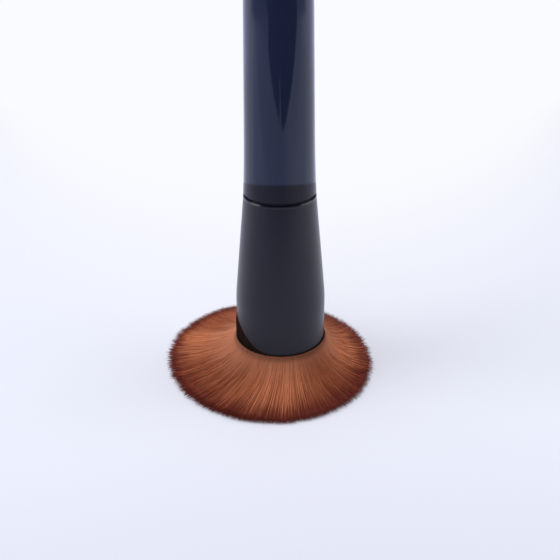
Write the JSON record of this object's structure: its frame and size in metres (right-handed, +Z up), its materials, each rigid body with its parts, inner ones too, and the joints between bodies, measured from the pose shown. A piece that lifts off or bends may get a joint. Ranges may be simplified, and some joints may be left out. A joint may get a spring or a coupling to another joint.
{
  "type": "angled foundation brush",
  "caption": "Angled foundation brush standing on its splayed brown bristles, with a dark blue turned handle and a satin black ferrule",
  "frame": {"origin": "The point where the handle's axis meets the surface that the brush stands on, at the middle of the rest face", "axes": "+Z runs up the handle's axis, away from the bristles. The front of the brush, where the ferrule's mouth is level, faces -Y, and the long side of the bristle fan points between -X and +Y"},
  "size_m": [0.0533, 0.0549, 0.158],
  "materials": {
    "handle_lacquer": "dark blue gloss lacquer over turned wood, with a black painted band at the foot",
    "ferrule_black": "satin black anodised",
    "cured_glue": "cured amber epoxy",
    "bristle_brown": "fine synthetic fibres, dark reddish brown at the tips"
  },
  "bodies": {
    "root": {"handle": "handle_lacquer", "ferrule": "ferrule_black", "glue_plug": "cured_glue", "bristle_tuft": "bristle_brown"}
  },
  "joints": []
}
